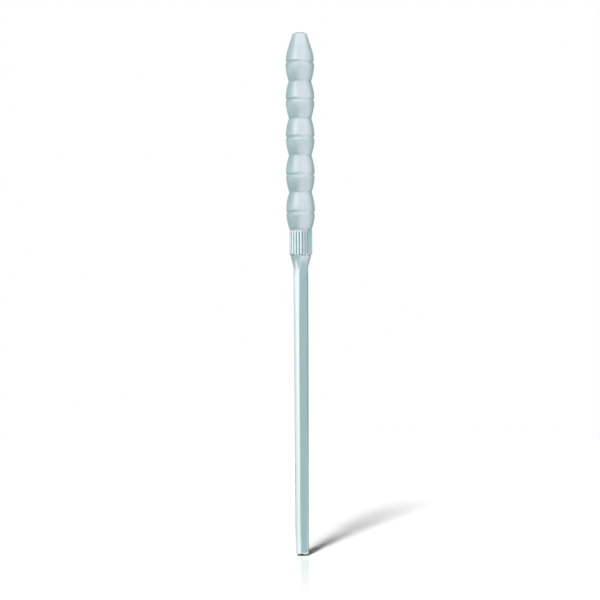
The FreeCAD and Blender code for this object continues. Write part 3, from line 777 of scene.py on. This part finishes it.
def ground_collet_steel():
    """Hardened steel, ground round the axis."""
    finish = Finish("ground_collet_steel", (0.60, 0.66, 0.68), 1.0, 0.24)
    rings = finish.noise(finish.stretched((0.02, 0.02, 1)), 0.04 * MM, 2)
    cloud = finish.noise(finish.place, 0.9 * MM, 2)
    finish.paint(finish.mixed(cloud, (0.56, 0.63, 0.65), (0.63, 0.69, 0.71)))
    finish.dull(finish.ranged(rings, 0.3, 0.7, 0.2, 0.3))
    finish.emboss(rings, 0.0015 * MM, 0.3)
    return finish.material


def turned_bronze():
    """Bearing bronze with the rings of its last cut."""
    finish = Finish("turned_bronze", (0.72, 0.52, 0.30), 1.0, 0.3)
    rings = finish.noise(finish.stretched((0.02, 0.02, 1)), 0.08 * MM, 2)
    cloud = finish.noise(finish.place, 1.2 * MM, 3)
    finish.paint(finish.mixed(cloud, (0.66, 0.46, 0.26), (0.78, 0.57, 0.34)))
    finish.dull(finish.ranged(rings, 0.3, 0.7, 0.24, 0.38))
    finish.emboss(rings, 0.003 * MM, 0.3)
    return finish.material


def seal_rubber():
    """Black rubber, slightly bloomed."""
    finish = Finish("seal_rubber", (0.05, 0.05, 0.05), 0.0, 0.55)
    cloud = finish.noise(finish.place, 0.5 * MM, 3)
    finish.paint(finish.mixed(cloud, (0.035, 0.035, 0.035), (0.085, 0.085, 0.09)))
    finish.dull(finish.ranged(cloud, 0.3, 0.7, 0.48, 0.66))
    finish.emboss(finish.noise(finish.place, 0.05 * MM, 2), 0.004 * MM, 0.4)
    return finish.material


def wear(piece, material):
    piece.data.materials.clear()
    piece.data.materials.append(material)


# ---- the studio ----


def make_floor():
    """White floor that keeps the shadow, mirrors the foot faintly and fades into the white room."""
    bpy.ops.object.select_all(action="DESELECT")
    bpy.ops.mesh.primitive_plane_add(size=FLOOR_SIZE)
    floor = new_piece("floor")
    material = bpy.data.materials.new("white_floor")
    tree = Shading(material)
    place = tree.nodes.new("ShaderNodeTexCoord").outputs["Object"]
    parts = tree.parted(place)
    paper = tree.nodes.new("ShaderNodeBsdfDiffuse")
    paper.inputs["Color"].default_value = (1, 1, 1, 1)
    gloss = tree.nodes.new("ShaderNodeBsdfGlossy")
    gloss.inputs["Roughness"].default_value = 0.05
    gloss.inputs["Color"].default_value = (1, 1, 1, 1)
    glow = tree.nodes.new("ShaderNodeEmission")
    before_foot = tree.ranged(parts["Y"], -0.18, 0.02, 0, FLOOR_GLOSS)
    before_foot = tree.worked("MULTIPLY", before_foot, tree.ranged(parts["Y"], -0.014, 0.004, 1, 0))
    aside = tree.worked("ABSOLUTE", parts["X"])
    before_foot = tree.worked("MULTIPLY", before_foot, tree.ranged(aside, 0.006, 0.012, 1, 0))
    polished = tree.blended(before_foot, paper.outputs["BSDF"], gloss.outputs["BSDF"])
    far = tree.ranged(tree.length(place), 0.5, 0.8, 0, 1)
    tree.put_out(tree.blended(far, polished, glow.outputs["Emission"]))
    wear(floor, material)


def light_room():
    """World that shows white to the camera and in the metal, and lights matt things softly."""
    world = bpy.data.worlds.new("white_room")
    bpy.context.scene.world = world
    tree = Shading(world)
    path = tree.nodes.new("ShaderNodeLightPath")
    seen = path.outputs["Is Camera Ray"]
    for ray in ("Is Glossy Ray", "Is Transmission Ray"):
        seen = tree.worked("MAXIMUM", seen, path.outputs[ray])
    soft = tree.nodes.new("ShaderNodeBackground")
    soft.inputs["Strength"].default_value = SKY_STRENGTH
    white = tree.nodes.new("ShaderNodeBackground")
    for background in (soft, white):
        background.inputs["Color"].default_value = (1, 1, 1, 1)
    room = tree.blended(seen, soft.outputs["Background"], white.outputs["Background"])
    tree.put_out(room, "ShaderNodeOutputWorld")


def add_sun_row():
    """A tall soft light, as a row of suns one above another, which draws the floor's shadow.

    The metal takes its light from the room and the cards, so the suns don't show in it.
    """
    for elevation, share, aside in SUN_ROW:
        height = math.radians(elevation)
        travel = Vector((aside, 1, 0)).normalized() * math.cos(height) - Vector(UP) * math.sin(height)
        bpy.ops.object.light_add(type="SUN", location=-travel)
        sun = bpy.context.object
        sun.name = "sun_%d" % elevation
        sun.rotation_mode = "QUATERNION"
        sun.rotation_quaternion = travel.to_track_quat("-Z", "Y")
        sun.data.energy = SUN_ON_FLOOR * share * math.pi / math.sin(height)
        sun.data.angle = SUN_SOFTNESS
        sun.visible_glossy = False


def card_finish(name, colour, strength):
    """Glow on a card's front; from behind the card isn't there."""
    material = bpy.data.materials.new(name)
    tree = Shading(material)
    glow = tree.nodes.new("ShaderNodeEmission")
    glow.inputs["Color"].default_value = (*colour, 1)
    glow.inputs["Strength"].default_value = strength
    clear = tree.nodes.new("ShaderNodeBsdfTransparent")
    side = tree.nodes.new("ShaderNodeNewGeometry")
    sides = tree.blended(side.outputs["Backfacing"], glow.outputs["Emission"], clear.outputs["BSDF"])
    tree.put_out(sides)
    return material


def set_card(name, size, centre, rotation, colour, strength, near_share=1.0):
    """Sets a card that shows only in the metal and in the floor's gloss.

    It is no lamp, casts no shadow and stays out of the camera's view.
    """
    bpy.ops.object.select_all(action="DESELECT")
    bpy.ops.mesh.primitive_plane_add(size=1)
    card = new_piece(name)
    if near_share != 1.0:
        edit(card)
        pick(card, lambda place: place.y > 0)
        bpy.ops.transform.resize(value=(near_share, 1, 1), center_override=ORIGIN)
        leave_edit()
    card.location = centre
    card.rotation_euler = rotation
    card.scale = (size[0], size[1], 1)
    wear(card, card_finish(name, colour, strength))
    card.visible_camera = False
    card.visible_diffuse = False
    card.visible_shadow = False


def upright_card(name, azimuth, distance, width, low, high, colour, strength):
    """Stands a card round the handle; azimuth 0 is before it and 90 degrees to its right."""
    turn = math.radians(azimuth)
    centre = (distance * math.sin(turn), -distance * math.cos(turn), (low + high) / 2)
    set_card(name, (width, high - low), centre, (-math.pi / 2, 0, turn), colour, strength)


def lying_card(name, azimuth, near, far, width, layer, colour, strength, near_share=1.0, aside=0.0):
    """Lays a card on the floor, from near to far along an azimuth; upper layers hide lower ones."""
    turn = math.radians(azimuth)
    middle = (near + far) / 2
    centre = (
        middle * math.sin(turn) + aside * math.cos(turn),
        -middle * math.cos(turn) + aside * math.sin(turn),
        CARD_LIFT * layer,
    )
    set_card(name, (width, far - near), centre, (0, 0, turn), colour, strength, near_share)


def leaning_card(name, azimuth, aside, width, foot_share, colour, strength):
    """Leans a card towards the rod, on a plane that the grip above can't see the front of."""
    turn = math.radians(azimuth)
    run = LEAN_REACH * LEAN_TOP / LEAN_AIM
    middle = LEAN_REACH - run / 2
    centre = (
        middle * math.sin(turn) + aside * math.cos(turn),
        -middle * math.cos(turn) + aside * math.sin(turn),
        LEAN_TOP / 2,
    )
    size = (width, math.hypot(LEAN_TOP, run))
    tilt = math.pi + math.atan2(LEAN_TOP, run)
    set_card(name, size, centre, (tilt, 0, turn), colour, strength, foot_share)


def add_cards():
    """Bright and dark cards that draw the metal's light and dark sides, as in a product studio.

    Their places and strengths are matched to the photograph, seen from its camera.
    """
    white = (1.0, 1.0, 1.0)
    warm = (1.0, 0.955, 0.935)
    lilac = (1.0, 0.965, 1.04)
    shade = (0.80, 0.985, 1.0)
    teal = (0.74, 1.0, 0.98)
    pale = (0.80, 0.985, 0.98)
    # Strips at the height of the collar, whose ridges mirror them.
    upright_card("left_far_strip", -80, 0.78, 1.3, 0.09, 0.118, white, 1.35)
    upright_card("front_far_strip", -8, 0.77, 1.12, 0.089, 0.118, white, 1.3)
    upright_card("right_far_strip", 42, 0.76, 0.4, 0.089, 0.118, white, 0.95)
    upright_card("rear_far_strip", -146, 0.58, 0.8, 0.092, 0.11, white, 1.35)
    # Flags round the flare and the flutes.
    upright_card("rear_right_low", 152, 0.59, 0.5, 0.0, 0.094, teal, 0.48)
    upright_card("left_low_flag", -58, 0.8, 0.6, -0.01, 0.092, teal, 0.65)
    upright_card("front_low_flag", -5, 0.8, 1.15, -0.01, 0.088, shade, 0.66)
    upright_card("front_far_flag", 45, 0.79, 1.22, -0.01, 0.125, shade, 0.66)
    upright_card("right_far_flag", 95, 0.8, 0.8, -0.01, 0.125, shade, 0.6)
    # The room that the upper sides of the beads mirror.
    upright_card("left_key", -42, 0.8, 0.5, 0.2, 0.8, white, 1.5)
    upright_card("right_panel", 35, 0.8, 1.2, 0.125, 1.2, lilac, 1.16)
    upright_card("left_wing", -88, 0.65, 0.6, 0.12, 0.9, pale, 0.8)
    upright_card("rear_left_flag", -142, 0.6, 0.8, 0.0, 0.9, pale, 0.74)
    upright_card("rear_right_flag", 138, 0.6, 0.95, 0.0, 0.9, teal, 0.6)
    upright_card("rear_flag", 180, 0.62, 0.35, 0.1, 0.9, teal, 0.55)
    # Mats on the floor for the flare and the lower sides of the beads.
    lying_card("rear_mat", 180, 0.04, 0.6, 1.2, 1, teal, 0.55)
    lying_card("rear_strip", 156, 0.004, 0.045, 0.03, 1, teal, 0.5)
    lying_card("front_mat", 40, 0.11, 0.6, 0.9, 1, (0.98, 0.975, 1.03), 0.96)
    lying_card("left_mat", -90, 0.05, 0.6, 0.9, 2, teal, 0.59)
    # Lines that the rod's three facets in view mirror, the leaning ones for the rod's upper part.
    lying_card("left_line", -84, 0.025, 0.6, 0.06, 3, white, 1.0, 0.13)
    lying_card("left_strip", -84, 0.008, 0.026, 0.003, 3, warm, 1.45, 1.0, 0.0025)
    lying_card("right_strip", 36, 0.008, 0.026, 0.016, 3, shade, 0.7, 0.5)
    leaning_card("left_lean", -84, 0.0025, 0.003, 1.0, warm, 1.45)
    leaning_card("right_lean", 36, 0.0, 0.007, 2.3, shade, 0.7)
    # What the crown of the foot mirrors, right under it.
    lying_card("foot_light", 0, -0.004, 0.004, 0.008, 4, white, 1.1)
    lying_card("foot_mat", -45, -0.0015, 0.0017, 0.0032, 5, shade, 0.08)


def add_camera():
    """Long lens before the handle's middle, rolled to match the photograph's slight tilt."""
    bpy.ops.object.camera_add(
        location=(CAMERA_ASIDE, -CAMERA_DISTANCE, CAMERA_LEVEL), rotation=(math.pi / 2, CAMERA_ROLL, 0)
    )
    camera = bpy.context.object
    camera.name = "camera"
    camera.data.sensor_width = 36
    camera.data.lens = CAMERA_LENS
    camera.data.clip_start = 0.01
    bpy.context.scene.camera = camera


bpy.context.scene.view_settings.view_transform = "Standard"
grip_finish = blasted_grip_steel()
rod_finish = polished_rod_steel()
collar_finish = turned_collar_steel()
collet_finish = ground_collet_steel()
bronze = turned_bronze()
rubber = seal_rubber()

wear(make_grip_shell(), grip_finish)
wear(make_collet_jaws(), collet_finish)
wear(make_rod_and_flare(), rod_finish)
wear(make_fluted_collar(), collar_finish)
for node, finish in (
    ("guide_bush", bronze),
    ("rear_bush", bronze),
    ("draw_tube", rod_finish),
    ("tube_pin", collet_finish),
    ("thrust_washer", collet_finish),
    ("seal_ring", rubber),
):
    wear(frame["nodes"][node], finish)

make_floor()
light_room()
add_sun_row()
add_cards()
add_camera()
